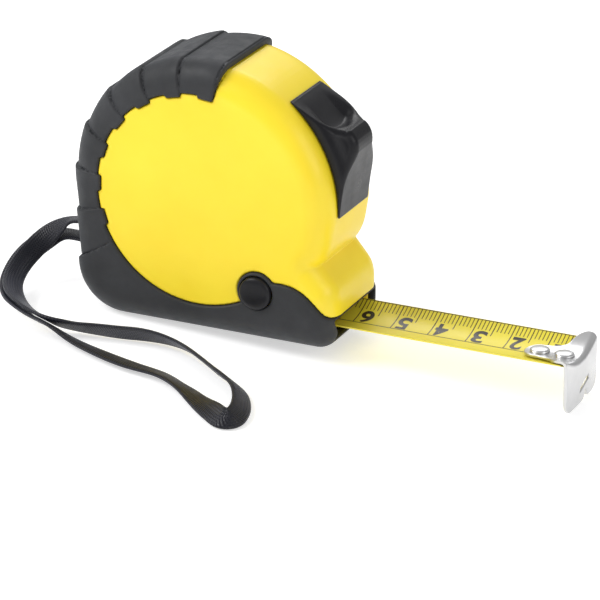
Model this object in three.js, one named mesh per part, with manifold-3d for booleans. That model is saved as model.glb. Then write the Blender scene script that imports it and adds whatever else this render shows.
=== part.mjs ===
// Pocket tape measure, 5 m by 19 mm, drawn with 59 mm of blade pulled out and the thumb lock set.
// Millimetres. +X is the way the blade leaves, +Z is up, and -Y is the side that has the brake button.
// The origin is the centre of the case's flat base. The hook hangs below the base, as on the real tool.
import * as THREE from "three";
import { mergeVertices } from "three/addons/utils/BufferGeometryUtils.js";
import Module from "manifold-3d";

const wasm = await Module();
wasm.setup();

// ---- driving dimensions ----------------------------------------------------------------------
const GAP = 0.3; // between pieces that touch
const REEL_Z = 34.5; // height of the reel's axis, which runs along Y
const SHELL_R = 34.5; // the yellow shell's round front and top
const GRIP_PROUD = 1.5; // how far the rubber stands out from the shell
const FRONT_X = 36;
const REAR_X = -35.4;
const SEAM_Y = 1.5; // plane where the two halves meet
const GRIP_HALF_Y = 16;
const SHELL_HALF_Y = 15.4;
const CORE_HALF_Y = 14.2; // the shell under the rubber
const CORE_INSET = 1.8;
const EDGE_ROUND = 4;
const CORE_ROUND = 3;
const CHAMBER_R = 32.4;
const CHAMBER_HALF_Y = 12.4;
const CHAMBER_FLOOR = 2.5;
const NOSE_HALF_Y = 11.4;

const BLADE_WIDTH = 18.8;
const BLADE_THICK = 0.25;
const BLADE_EDGE_Z = 5.8;
const BLADE_DIP = 2.7; // how far the middle lies below the edges
const ZERO_X = 94.7; // inner face of the hook
const MOUTH_TOP = 8;
const MOUTH_HALF_Y = 10.8;
const FOOT_GROOVE_HALF_Y = 2.4;
const FOOT_GROOVE_FLOOR = 2;

const WINDOW_R = 27.3; // the yellow disc on each side
const WINDOW_X = -0.3;
const WINDOW_Z = 34.8;
const TOOTH_DEPTH = 0.9; // the raised treads reach this much further in
const TREAD_PITCH = 18.7;
const TREAD_START = 80.4;
const TREAD_COUNT = 7;
const TREAD_ARC = 9;
const TREAD_STEP = 0.7;

const BUTTON = { x: 15.9, z: 13.4, r: 4.2 };
const BUTTON_TRAVEL = 1.4;
const BUTTON_BACK = -15.3; // underside of the cap, which faces +Y
const STRAP_PIN = { x: -33.2, z: 15.4, r: 1.2 };
const DRUM_R = 21.5;
const COIL_R = 27.6;

// ---- colours and finishes --------------------------------------------------------------------
const finish = (color, roughness, metalness) =>
  new THREE.MeshStandardMaterial({ color, roughness, metalness });
const YELLOW = () => finish(0xf6de2e, 0.42, 0);
const RUBBER = () => finish(0x3a3b3f, 0.75, 0);
const BLACK_PLASTIC = () => finish(0x17171a, 0.25, 0);
const INNER_PLASTIC = () => finish(0x2c2c30, 0.55, 0);
const CHROME = () => finish(0xd6d6d8, 0.15, 1);
const SPRING_STEEL = () => finish(0x8b8f96, 0.35, 1);
const TAPE_YELLOW = () => finish(0xf2d233, 0.4, 0);
const WEBBING = () => finish(0x1b1d22, 0.6, 0);

// ---- solids ----------------------------------------------------------------------------------
const rad = THREE.MathUtils.degToRad;

function solid(geometry) {
  const plain = geometry.clone();
  plain.deleteAttribute("normal");
  plain.deleteAttribute("uv");
  const merged = mergeVertices(plain, 1e-4);
  const triVerts = merged.index.array;
  const vertProperties = merged.attributes.position.array;
  return new wasm.Manifold(new wasm.Mesh({ numProp: 3, vertProperties, triVerts }));
}

function geometryOf(body) {
  const mesh = body.getMesh();
  const geometry = new THREE.BufferGeometry();
  geometry.setAttribute("position", new THREE.BufferAttribute(mesh.vertProperties, 3));
  geometry.setIndex(new THREE.BufferAttribute(mesh.triVerts, 1));
  geometry.computeVertexNormals();
  return geometry;
}

// A side outline (x, z) given thickness from y0 to y1.
function slab(shape, y0, y1, curveSegments = 12) {
  const depth = y1 - y0;
  const geometry = new THREE.ExtrudeGeometry(shape, { depth, bevelEnabled: false, curveSegments });
  return solid(geometry.rotateX(Math.PI / 2).translate(0, y1, 0));
}

// The same with every edge rounded, from -halfY to halfY.
function roundedSlab(shape, halfY, round, curveSegments = 18) {
  const geometry = new THREE.ExtrudeGeometry(shape, {
    depth: 2 * (halfY - round),
    bevelThickness: round,
    bevelSize: round,
    bevelOffset: -round,
    bevelSegments: 2,
    curveSegments,
  });
  return solid(geometry.rotateX(Math.PI / 2).translate(0, halfY - round, 0));
}

function box(x0, x1, y0, y1, z0, z1) {
  const geometry = new THREE.BoxGeometry(x1 - x0, y1 - y0, z1 - z0);
  return solid(geometry.translate((x0 + x1) / 2, (y0 + y1) / 2, (z0 + z1) / 2));
}

// A cylinder along Y, with an optional second radius at y1.
function barrel(x, z, r, y0, y1, segments = 24, r1 = r) {
  const geometry = new THREE.CylinderGeometry(r1, r, y1 - y0, segments);
  return solid(geometry.translate(x, (y0 + y1) / 2, z));
}

// A flat ring along Y about the reel's axis.
function ring(rInner, rOuter, y0, y1, segments = 40) {
  const outer = barrel(0, REEL_Z, rOuter, y0, y1, segments);
  return outer.subtract(barrel(0, REEL_Z, rInner, y0 - 1, y1 + 1, segments));
}

// A band of the circle about the reel's axis, from angle a0 to a1 in degrees, 0 being +X.
function sectorShape(rInner, rOuter, a0, a1) {
  const shape = new THREE.Shape();
  shape.absarc(0, REEL_Z, rOuter, rad(a0), rad(a1), false);
  shape.absarc(0, REEL_Z, rInner, rad(a1), rad(a0), true);
  shape.closePath();
  return shape;
}

const cutHalf = (body, side) =>
  side < 0
    ? body.intersect(box(-60, 60, -40, SEAM_Y - GAP / 2, -20, 90))
    : body.intersect(box(-60, 60, SEAM_Y + GAP / 2, 40, -20, 90));

// ---- case outlines ---------------------------------------------------------------------------
function arcPoints(x, z, r, from, to, steps) {
  return Array.from({ length: steps + 1 }, (_, i) => {
    const angle = rad(from + ((to - from) * i) / steps);
    return new THREE.Vector2(x + r * Math.cos(angle), z + r * Math.sin(angle));
  });
}

function bendPoints(x0, z0, x1, z1, x2, z2, steps) {
  const ends = [[x0, z0], [x1, z1], [x2, z2]].map(([x, z]) => new THREE.Vector2(x, z));
  return new THREE.QuadraticBezierCurve(...ends).getPoints(steps);
}

// The case seen from the side: flat base, round toe, bent nose, waist, circle, straight rear.
function caseOutline(inset, toeX, circleR) {
  const toeRound = 5.2;
  const rearRound = 13;
  const joinAngle = -6;
  const rearX = REAR_X + inset;
  const [waistX, waistZ] = [toeX - 5.2, 21.2];
  const [join] = arcPoints(0, REEL_Z, circleR, joinAngle, 90, 1);
  return new THREE.Shape([
    ...arcPoints(toeX - toeRound, inset + toeRound, toeRound, -90, 0, 5),
    ...bendPoints(toeX, 11.5, toeX, 15.3, toeX - 2.2, 17.6, 4),
    ...bendPoints(waistX, waistZ, waistX + 1.9, 26.5, join.x, join.y, 4).slice(0, -1),
    ...arcPoints(0, REEL_Z, circleR, joinAngle, 180, 30),
    ...arcPoints(rearX + rearRound, inset + rearRound, rearRound, 180, 270, 7),
  ]);
}

// The yellow in front of the rubber: behind it lies the side disc, below it the toe.
function frontShape(grow) {
  const shape = new THREE.Shape();
  shape.moveTo(60, 8.6 - grow);
  shape.lineTo(60, 90);
  shape.lineTo(6.7 - grow, 90);
  shape.lineTo(6.7 - grow, 68.5);
  shape.lineTo(4.4 - grow, 60.2);
  shape.lineTo(0, 45);
  shape.lineTo(0, 22);
  shape.lineTo(19, 16.5 - grow);
  shape.lineTo(24.2, 16.5 - grow);
  shape.quadraticCurveTo(29 - grow, 16 - grow, 32.2 - grow, 11.2 - grow);
  shape.quadraticCurveTo(34, 8.6 - grow, 36, 8.6 - grow);
  shape.closePath();
  return shape;
}

// Where the yellow shows on each side, as a cutter through the whole case.
function windowCutter(grow, discR) {
  const disc = barrel(WINDOW_X, WINDOW_Z, discR + grow, -30, 30, 60);
  const boss = barrel(BUTTON.x, BUTTON.z, BUTTON.r + 1.1 - grow, -40, 40, 28);
  return disc.add(slab(frontShape(grow), -30, 30, 8)).subtract(boss);
}

// The treads: raised bands across the rubber, each ending in a sharp step at its front.
function treadCutter(slack) {
  const slackAngle = THREE.MathUtils.radToDeg(slack / WINDOW_R);
  const bands = [];
  for (let i = 0; i < TREAD_COUNT; i += 1) {
    const start = TREAD_START + i * TREAD_PITCH - slackAngle;
    const end = start + TREAD_ARC + 2 * slackAngle;
    bands.push(slab(sectorShape(20, 45, start, end), -30, 30, 4));
  }
  return bands.reduce((all, band) => all.add(band));
}

// ---- cavity and cuts shared by the shells and grips ------------------------------------------
function chamber() {
  const room = barrel(0, REEL_Z, CHAMBER_R, -CHAMBER_HALF_Y, CHAMBER_HALF_Y, 48);
  const outline = [[0, 1], [34, 1], [34, 15], [28.6, 21.4], [28.6, 30], [0, 30]];
  const nose = new THREE.Shape(outline.map(([x, z]) => new THREE.Vector2(x, z)));
  const aboveFloor = box(-60, 60, -40, 40, CHAMBER_FLOOR, 90);
  const screwBoss = barrel(NOSE_SCREW.x, NOSE_SCREW.z, 2.4, -14, 14, 24);
  const space = room.add(slab(nose, -NOSE_HALF_Y, NOSE_HALF_Y)).intersect(aboveFloor);
  return space.subtract(screwBoss);
}

// The blade's way out, with a shallow groove in its floor for the feet of the hook's rivets.
function mouthCut() {
  const opening = box(20, 60, -MOUTH_HALF_Y, MOUTH_HALF_Y, CHAMBER_FLOOR, MOUTH_TOP);
  return opening.add(box(20, 60, -FOOT_GROOVE_HALF_Y, FOOT_GROOVE_HALF_Y, FOOT_GROOVE_FLOOR, MOUTH_TOP));
}

const strapRecess = () => box(-60, -29.6, -4.4, 4.4, 10.6, 18.9);
const lockSlot = () => slab(sectorShape(30, 40, 18.5, 49.5), -2.9, 2.9);

const REAR_SCREW = { x: -24.5, z: 7.6 };
const NOSE_SCREW = { x: 31.2, z: 14.3 };
const CASE_SCREWS = [REAR_SCREW, NOSE_SCREW, { x: 0, z: REEL_Z }];
const CLIP_SCREW = { x: 0, z: 51 };
const SCREW_R = 1.1;
const SCREW_HEAD_R = 2.3;

// Clearance for the case screws, whose heads sit in the far shell.
function screwHoles(extra) {
  const holes = CASE_SCREWS.map(({ x, z }) =>
    barrel(x, z, SCREW_R + extra, -9 - extra, 20, 20).add(
      barrel(x, z, SCREW_HEAD_R + extra, 13.7 - extra, 20, 24)
    )
  );
  return holes.reduce((all, hole) => all.add(hole));
}

// ---- case ------------------------------------------------------------------------------------
function shellBody() {
  const yellow = roundedSlab(caseOutline(GRIP_PROUD, FRONT_X, SHELL_R), SHELL_HALF_Y, EDGE_ROUND);
  const core = roundedSlab(
    caseOutline(CORE_INSET, FRONT_X - CORE_INSET, SHELL_R - GAP),
    CORE_HALF_Y,
    CORE_ROUND
  );
  const teeth = treadCutter(GAP).subtract(windowCutter(0, WINDOW_R - TOOTH_DEPTH));
  const shown = windowCutter(0, WINDOW_R).subtract(teeth);
  let body = yellow.intersect(shown).add(core);
  body = body.subtract(chamber()).subtract(mouthCut());
  body = body.subtract(strapRecess()).subtract(lockSlot());
  return body.subtract(strapPinBody(GAP)).subtract(screwHoles(GAP));
}

function nearShell() {
  const holeEnd = BUTTON_BACK + BUTTON_TRAVEL + GAP;
  const buttonHole = barrel(BUTTON.x, BUTTON.z, BUTTON.r + GAP, -30, holeEnd, 32);
  const stemHole = barrel(BUTTON.x, BUTTON.z, 1.9, -30, -10, 24);
  const bossWall = barrel(BUTTON.x, BUTTON.z, BUTTON.r + 1.1, -14.1, -12, 32);
  const half = cutHalf(shellBody(), -1).add(bossWall);
  return half.subtract(buttonHole).subtract(stemHole);
}

function farShell() {
  const clipHole = barrel(CLIP_SCREW.x, CLIP_SCREW.z, SCREW_R + GAP, 12, 20, 20);
  return cutHalf(shellBody(), 1).subtract(clipHole);
}

function gripBody() {
  const lowR = SHELL_R + GRIP_PROUD - TREAD_STEP;
  const low = roundedSlab(caseOutline(0, FRONT_X, lowR), GRIP_HALF_Y, EDGE_ROUND);
  const high = roundedSlab(caseOutline(0, FRONT_X, lowR + TREAD_STEP), GRIP_HALF_Y, EDGE_ROUND);
  const underRubber = roundedSlab(
    caseOutline(CORE_INSET - GAP, FRONT_X - CORE_INSET + GAP, SHELL_R),
    CORE_HALF_Y + GAP,
    CORE_ROUND
  );
  const bands = high.intersect(treadCutter(0)).subtract(windowCutter(GAP, WINDOW_R - TOOTH_DEPTH));
  let body = low.subtract(windowCutter(GAP, WINDOW_R)).add(bands).subtract(underRubber);
  body = body.subtract(mouthCut()).subtract(strapRecess());
  return body.subtract(strapPinBody(GAP)).subtract(screwHoles(GAP));
}

function nearGrip() {
  const hole = barrel(BUTTON.x, BUTTON.z, BUTTON.r + GAP, -30, -10, 32);
  return cutHalf(gripBody(), -1).subtract(hole);
}

const farGrip = () => cutHalf(gripBody(), 1);

function centrePost() {
  const post = barrel(0, REEL_Z, 3, -CHAMBER_HALF_Y + GAP, CHAMBER_HALF_Y - GAP, 32);
  const springSlot = box(-0.6, 0.6, -9, 9, REEL_Z - 5, REEL_Z - 1.4);
  return post.subtract(springSlot).subtract(screwHoles(GAP));
}

function caseScrew({ x, z }) {
  const shank = barrel(x, z, SCREW_R, -9, 14.2, 20);
  const head = barrel(x, z, SCREW_HEAD_R, 13.7, 15, 24);
  const slotA = box(x - 1.3, x + 1.3, 14.4, 16, z - 0.3, z + 0.3);
  const slotB = box(x - 0.3, x + 0.3, 14.4, 16, z - 1.3, z + 1.3);
  return shank.add(head).subtract(slotA).subtract(slotB);
}

function strapPinBody(extra) {
  return barrel(STRAP_PIN.x, STRAP_PIN.z, STRAP_PIN.r + extra, -6.4 - extra, 6.4 + extra, 20);
}

// Spring clip on the far side: a foot on the shell, a bend over the top, and a long arm.
function beltClip() {
  const halfX = 8;
  const t = 1;
  const footY = SHELL_HALF_Y + GAP;
  const armY = footY + 5.6;
  const bendTop = 58.4;
  const bendR = (armY + t - footY) / 2;
  const shape = new THREE.Shape();
  shape.moveTo(footY, 44.5);
  shape.lineTo(footY, bendTop);
  shape.absarc(footY + bendR, bendTop, bendR, Math.PI, 0, true);
  shape.lineTo(armY + t, 24);
  shape.lineTo(footY + 2 * t + 0.6, 18);
  shape.lineTo(footY + 4 * t, 13.5);
  shape.lineTo(footY + 3 * t, 13.2);
  shape.lineTo(footY + t + 0.4, 18);
  shape.lineTo(armY, 24.3);
  shape.lineTo(armY, bendTop);
  shape.absarc(footY + bendR, bendTop, bendR - t, 0, Math.PI, false);
  shape.lineTo(footY + t, 44.5);
  shape.closePath();
  const geometry = new THREE.ExtrudeGeometry(shape, {
    depth: 2 * halfX,
    bevelEnabled: false,
    curveSegments: 10,
  });
  // shape x is Y and shape y is Z, so the depth turns to lie along X
  const turn = new THREE.Matrix4().makeBasis(
    new THREE.Vector3(0, 1, 0),
    new THREE.Vector3(0, 0, 1),
    new THREE.Vector3(1, 0, 0)
  );
  const clip = solid(geometry.applyMatrix4(turn).translate(-halfX, 0, 0));
  const driverHole = barrel(CLIP_SCREW.x, CLIP_SCREW.z, 3, 19, 30, 24);
  const screwHole = barrel(CLIP_SCREW.x, CLIP_SCREW.z, SCREW_R + GAP, 10, 18, 20);
  return clip.subtract(driverHole).subtract(screwHole);
}

function clipScrew() {
  const headFrom = SHELL_HALF_Y + 1 + 2 * GAP;
  const shank = barrel(CLIP_SCREW.x, CLIP_SCREW.z, SCREW_R, 12.7, headFrom + 0.5, 20);
  const head = barrel(CLIP_SCREW.x, CLIP_SCREW.z, 2.6, headFrom, headFrom + 1.3, 24, 2);
  const slot = box(-1.4, 1.4, headFrom + 0.8, headFrom + 3, CLIP_SCREW.z - 0.3, CLIP_SCREW.z + 0.3);
  return shank.add(head).subtract(slot);
}

// ---- wrist strap -----------------------------------------------------------------------------
// Flat webbing: round the pin, down to the surface, out along the far side of the hand loop, folded
// over at its end, and back under itself to the pin. The surface slopes down to the hook's tip.
// Each point is x, y, z and how far the webbing leans over from lying flat, in degrees.
const STRAP_WIDTH = 5.6;
const STRAP_THICK = 1;
const STRAP_ROUTE = [
  [-30.6, 0, 15, 0],
  [-31.1, 0, 17, 0],
  [-32.8, 0, 18, 0],
  [-36.2, 0, 18, 4],
  [-43.6, -0.2, 17.3, 4],
  [-46, -1.6, 15.9, -14],
  [-48.1, -3.8, 13.9, -34],
  [-49.9, -7.4, 11.6, -50],
  [-50.9, -12, 9.4, -50],
  [-50.5, -17.3, 7.6, -38],
  [-48.3, -22.7, 6.7, -27],
  [-44.8, -27.3, 6.2, -27],
  [-41.2, -30.1, 5.7, -34],
  [-36.9, -32.4, 5.2, -36],
  [-31.7, -33.9, 4.7, -36],
  [-26.6, -31.4, 3, -42],
  [-21, -30, 2.6, -50],
  [-15.2, -28.4, 2.2, -54],
  [-10.1, -26.7, 1.9, -54],
  [-5.4, -26.1, 1.6, -49],
  [-0.9, -26.6, 1.3, -44],
  [3.6, -28.4, 1.1, -42],
  [9.5, -32, 0.6, -45],
  [14.7, -35.6, 0.2, -47],
  [19.7, -38.6, -0.2, -44],
  [23.6, -41.6, -0.6, -40],
  [26.6, -46, -0.9, -38],
  [29, -52, -1, -38],
  [29.3, -56.6, -1.1, -40],
  [27.5, -58.1, -0.9, -40],
  [23.8, -55.7, -0.9, -30],
  [18, -51.5, -0.9, 0],
  [12.7, -47.2, -0.9, 16],
  [8.2, -44.5, -0.7, 23],
  [2.7, -41.9, -0.5, 18],
  [-6.4, -41, 0.1, 12],
  [-15.2, -38.9, 0.6, 15],
  [-24.2, -36.2, 1.4, 24],
  [-31.9, -34.7, 3.7, 36],
  [-37.2, -33.1, 4.2, 36],
  [-41.7, -30.6, 4.6, 34],
  [-45.4, -27.7, 5, 27],
  [-49.1, -22.9, 5.2, 27],
  [-51.9, -17.2, 5.9, 38],
  [-52.6, -11.4, 8.1, 50],
  [-51.3, -6.2, 10.4, 50],
  [-48.5, -2.4, 12.4, 34],
  [-44.6, -0.6, 13.5, 6],
  [-40.4, -0.1, 13.3, 0],
  [-33.4, 0, 12.9, 0],
];

// A curve whose frames turn the webbing's width by the lean given at each point.
class WebbingCurve extends THREE.CatmullRomCurve3 {
  constructor(route) {
    super(route.map(([x, y, z]) => new THREE.Vector3(x, y, z)), false, "centripetal");
    this.leans = route.map((point) => rad(point[3]));
  }

  leanAt(u) {
    const place = this.getUtoTmapping(u) * (this.leans.length - 1);
    const before = Math.min(Math.floor(place), this.leans.length - 2);
    return THREE.MathUtils.lerp(this.leans[before], this.leans[before + 1], place - before);
  }

  computeFrenetFrames(segments) {
    const frames = { tangents: [], normals: [], binormals: [] };
    for (let i = 0; i <= segments; i += 1) {
      const along = this.getTangentAt(i / segments);
      const flat = new THREE.Vector3(-along.y, along.x, 0).normalize();
      const across = flat.applyAxisAngle(along, this.leanAt(i / segments));
      frames.tangents.push(along);
      frames.normals.push(across);
      frames.binormals.push(new THREE.Vector3().crossVectors(along, across));
    }
    return frames;
  }
}

function wristStrap() {
  const w = STRAP_WIDTH / 2;
  const t = STRAP_THICK / 2;
  const corners = [[-w, -t], [w, -t], [w, t], [-w, t]];
  const section = new THREE.Shape(corners.map(([x, y]) => new THREE.Vector2(x, y)));
  const extrudePath = new WebbingCurve(STRAP_ROUTE);
  return solid(new THREE.ExtrudeGeometry(section, { steps: 96, extrudePath, bevelEnabled: false }));
}

// ---- reel ------------------------------------------------------------------------------------
const DRUM_WALL = 1.2;

function reelDrum() {
  const rim = ring(DRUM_R - DRUM_WALL, DRUM_R, -10.2, 10.2);
  const hub = ring(3.4, 5, -10.2, 10.2, 24);
  const web = ring(4, DRUM_R - 0.5, 9, 10.2);
  return rim.add(hub).add(web);
}

const drumCover = () => ring(5 + GAP, DRUM_R - DRUM_WALL - GAP, -10.2, -9.2);

// A strip wound into a flat spiral about the reel's axis.
function spiralStrip(r0, r1, turns, thick, y0, y1, perTurn) {
  const steps = Math.round(turns * perTurn);
  const shape = new THREE.Shape();
  const point = (i, offset) => {
    const angle = (-Math.PI / 2) + (2 * Math.PI * turns * i) / steps;
    const r = r0 + ((r1 - r0) * i) / steps + offset;
    return new THREE.Vector2(r * Math.cos(angle), REEL_Z + r * Math.sin(angle));
  };
  const outer = [];
  const inner = [];
  for (let i = 0; i <= steps; i += 1) {
    outer.push(point(i, thick / 2));
    inner.push(point(i, -thick / 2));
  }
  shape.setFromPoints([...outer, ...inner.reverse()]);
  return slab(shape, y0, y1);
}

const powerSpring = () => spiralStrip(6.4, 19.2, 5, 0.7, -8.6, 8.6, 18);
const bladeCoil = () => spiralStrip(22.3, COIL_R - 0.4, 5, 0.75, -9.4, 9.4, 22);

// ---- blade and hook --------------------------------------------------------------------------
const HOOK_THICK = 0.9;
const LEAF_HALF_Y = 10.2;
const HOOK_PLAY = 0.9; // the hook slides by its own thickness, so inside and outside readings agree
const RIVETS = [84.6, 91];
const RIVET_R = 1.1;
const STRIP_START = 2;
const STRIP_END = ZERO_X - HOOK_PLAY - GAP;

// Section of the blade, or of the hook's top leaf lying on it, as (y, z) points of a shallow trough.
function troughShape(halfWidth, lift, thick) {
  const steps = 10;
  const depthAt = (y) => BLADE_DIP * (y / (BLADE_WIDTH / 2)) ** 2;
  const floor = BLADE_EDGE_Z - BLADE_DIP + lift;
  const lower = [];
  const upper = [];
  for (let i = 0; i <= steps; i += 1) {
    const y = -halfWidth + (2 * halfWidth * i) / steps;
    lower.push(new THREE.Vector2(y, floor + depthAt(y) - thick));
    upper.push(new THREE.Vector2(y, floor + depthAt(y)));
  }
  return new THREE.Shape([...lower, ...upper.reverse()]);
}

// A section in (y, z) drawn out along X from x0 to x1.
function alongX(shape, x0, x1) {
  const geometry = new THREE.ExtrudeGeometry(shape, { depth: x1 - x0, bevelEnabled: false });
  const turn = new THREE.Matrix4().makeBasis(
    new THREE.Vector3(0, 1, 0),
    new THREE.Vector3(0, 0, 1),
    new THREE.Vector3(1, 0, 0)
  );
  return solid(geometry.applyMatrix4(turn).translate(x0, 0, 0));
}

// A plan outline (x, y) given height from z0 to z1.
function column(shape, z0, z1) {
  const geometry = new THREE.ExtrudeGeometry(shape, { depth: z1 - z0, bevelEnabled: false });
  return solid(geometry.translate(0, 0, z0));
}

function upright(x, r, z0, z1, segments = 20, r1 = r) {
  const geometry = new THREE.CylinderGeometry(r1, r, z1 - z0, segments).rotateX(Math.PI / 2);
  return solid(geometry.translate(x, 0, (z0 + z1) / 2));
}

function bladeStrip() {
  const strip = alongX(troughShape(BLADE_WIDTH / 2, 0, BLADE_THICK), STRIP_START, STRIP_END);
  return RIVETS.reduce((body, x) => body.subtract(upright(x, RIVET_R + GAP, 0, 9)), strip);
}

// Tongue, wings and bend in plan.
function hookPlan() {
  const shape = new THREE.Shape();
  const endX = ZERO_X + HOOK_THICK;
  shape.moveTo(endX, -10);
  shape.lineTo(endX, 10);
  shape.lineTo(93, 10);
  shape.quadraticCurveTo(90.6, 9, 90.2, 6);
  shape.quadraticCurveTo(89.6, 4.1, 87, 3.7);
  shape.lineTo(84, 3.4);
  shape.absarc(84, 0, 3.4, Math.PI / 2, 1.5 * Math.PI, false);
  shape.lineTo(87, -3.7);
  shape.quadraticCurveTo(89.6, -4.1, 90.2, -6);
  shape.quadraticCurveTo(90.6, -9, 93, -10);
  shape.closePath();
  return shape;
}

// The plate that hooks over an edge: round lower corners, a nail notch and a slanted slot.
function hookPlate() {
  const shape = new THREE.Shape();
  const bottom = -7.3;
  const top = 9;
  const corner = 3.6;
  shape.moveTo(-10, top);
  shape.lineTo(-10, bottom + corner);
  shape.absarc(-10 + corner, bottom + corner, corner, Math.PI, 1.5 * Math.PI, false);
  shape.lineTo(-0.4, bottom);
  shape.quadraticCurveTo(1.6, bottom + 0.2, 1.8, bottom + 2.2);
  shape.lineTo(3.4, bottom + 2.2);
  shape.quadraticCurveTo(3.6, bottom + 0.4, 5.4, bottom + 0.3);
  shape.absarc(10 - corner, bottom + 0.3 + corner, corner, 1.5 * Math.PI, 2 * Math.PI, false);
  shape.lineTo(10, top);
  shape.closePath();
  const slot = new THREE.Path();
  slot.moveTo(-0.8, -4.2);
  slot.lineTo(-0.4, -3.3);
  slot.lineTo(4.8, -1.4);
  slot.lineTo(5, -2.3);
  slot.closePath();
  shape.holes.push(slot);
  return alongX(shape, ZERO_X, ZERO_X + HOOK_THICK);
}

function endHook() {
  const leafLift = GAP + HOOK_THICK;
  const leaf = alongX(troughShape(LEAF_HALF_Y, leafLift, HOOK_THICK), 79, ZERO_X + HOOK_THICK);
  const underTop = alongX(troughShape(LEAF_HALF_Y, leafLift, 20), ZERO_X - 1, ZERO_X + HOOK_THICK + 1);
  const plate = hookPlate().intersect(underTop);
  let hook = leaf.intersect(column(hookPlan(), -5, 12)).add(plate);
  RIVETS.forEach((x) => {
    hook = hook.subtract(upright(x, RIVET_R + GAP, 0, 12));
    hook = hook.subtract(upright(x + HOOK_PLAY, RIVET_R + GAP, 0, 12));
    hook = hook.subtract(box(x, x + HOOK_PLAY, -RIVET_R - GAP, RIVET_R + GAP, 0, 12));
  });
  return hook;
}

// A domed rivet through the hook's tongue and the blade.
function hookRivet(x) {
  const floor = BLADE_EDGE_Z - BLADE_DIP;
  const seat = floor + HOOK_THICK + 2 * GAP + 0.25;
  const footTop = floor - BLADE_THICK - 0.2;
  const shank = upright(x, RIVET_R, footTop - 0.3, seat + 0.3);
  const head = upright(x, 2.5, seat, seat + 0.9, 28, 1.5);
  const foot = upright(x, 1.9, footTop - 0.3, footTop, 24);
  return shank.add(head).add(foot);
}

// ---- thumb lock ------------------------------------------------------------------------------
const LOCK_HALF_Y = 9;
const LOCK_TOP_ANGLE = 50;
const TONGUE_IN = 30.5;
const TONGUE_OUT = 32.1;
const WEDGE_ANGLE = -66;
const WEDGE_BOTTOM = BLADE_EDGE_Z - BLADE_DIP + 0.8;

// Side outline of the thumb piece: a ramp up to a blunt lip, then down to a tip.
function lockOutline() {
  const seatR = SHELL_R + GAP;
  const shape = new THREE.Shape();
  shape.moveTo(34.95, 33.2);
  shape.quadraticCurveTo(36.1, 42, 38, 48.6);
  shape.quadraticCurveTo(38.9, 52.4, 35.8, 54.2);
  shape.lineTo(26.5, 58.9);
  shape.lineTo(seatR * Math.cos(rad(LOCK_TOP_ANGLE)), REEL_Z + seatR * Math.sin(rad(LOCK_TOP_ANGLE)));
  shape.absarc(0, REEL_Z, seatR, rad(LOCK_TOP_ANGLE), rad(-1.5), true);
  shape.closePath();
  return shape;
}

function thumbLock() {
  const pad = slab(lockOutline(), -LOCK_HALF_Y, LOCK_HALF_Y);
  const scoopGeometry = new THREE.SphereGeometry(1, 20, 12).scale(6.6, 7.4, 2.3);
  const scoop = solid(scoopGeometry.rotateY(rad(27)).translate(30.2, 0, 58.1));
  const neck = slab(sectorShape(TONGUE_OUT + GAP, SHELL_R + 1.2, 20, 35.5), -2.5, 2.5);
  return pad.subtract(scoop).add(neck);
}

// The springy tongue inside the case that carries the wedge down onto the blade.
function lockTongue() {
  const tongue = slab(sectorShape(TONGUE_IN, TONGUE_OUT, WEDGE_ANGLE, 38), -4, 4);
  const wedge = slab(sectorShape(TONGUE_IN, 38.5, WEDGE_ANGLE, WEDGE_ANGLE + 5), -4, 4);
  return tongue.add(wedge).intersect(box(0, 60, -5, 5, WEDGE_BOTTOM, 70));
}

// ---- brake button ----------------------------------------------------------------------------
const STEM_R = 1.5;

function brakeButton() {
  const profile = [
    new THREE.Vector2(0, -10.9),
    new THREE.Vector2(STEM_R, -10.9),
    new THREE.Vector2(STEM_R, BUTTON_BACK),
    new THREE.Vector2(BUTTON.r, BUTTON_BACK),
    new THREE.Vector2(BUTTON.r, -16.6),
    new THREE.Vector2(BUTTON.r - 0.5, -17),
    new THREE.Vector2(2, -17.4),
    new THREE.Vector2(0, -17.5),
  ];
  // the profile runs towards -Y, so its faces point out as it is turned
  const geometry = new THREE.LatheGeometry(profile.reverse(), 24);
  return solid(geometry.translate(BUTTON.x, 0, BUTTON.z));
}

function brakePad() {
  const disc = barrel(BUTTON.x, BUTTON.z, 3, -11.9, -10.95, 28);
  return disc.subtract(barrel(BUTTON.x, BUTTON.z, STEM_R + GAP, -14, -8, 24));
}

function buttonSpring() {
  const coils = 2.5;
  const coilR = 2.7;
  const from = BUTTON_BACK + GAP;
  const to = BUTTON_BACK + BUTTON_TRAVEL;
  const points = [];
  const steps = 30;
  for (let i = 0; i <= steps; i += 1) {
    const angle = (2 * Math.PI * coils * i) / steps;
    const y = from + ((to - from) * i) / steps;
    points.push(
      new THREE.Vector3(BUTTON.x + coilR * Math.cos(angle), y, BUTTON.z + coilR * Math.sin(angle))
    );
  }
  const extrudePath = new THREE.CatmullRomCurve3(points);
  const wire = new THREE.Shape().absarc(0, 0, 0.15, 0, 2 * Math.PI, false);
  return solid(
    new THREE.ExtrudeGeometry(wire, { steps: 40, curveSegments: 2, extrudePath, bevelEnabled: false })
  );
}

// ---- assembly --------------------------------------------------------------------------------
const tape = new THREE.Group();

function place(group, name, body, material) {
  const mesh = new THREE.Mesh(geometryOf(body), material);
  mesh.name = name;
  group.add(mesh);
}

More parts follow.
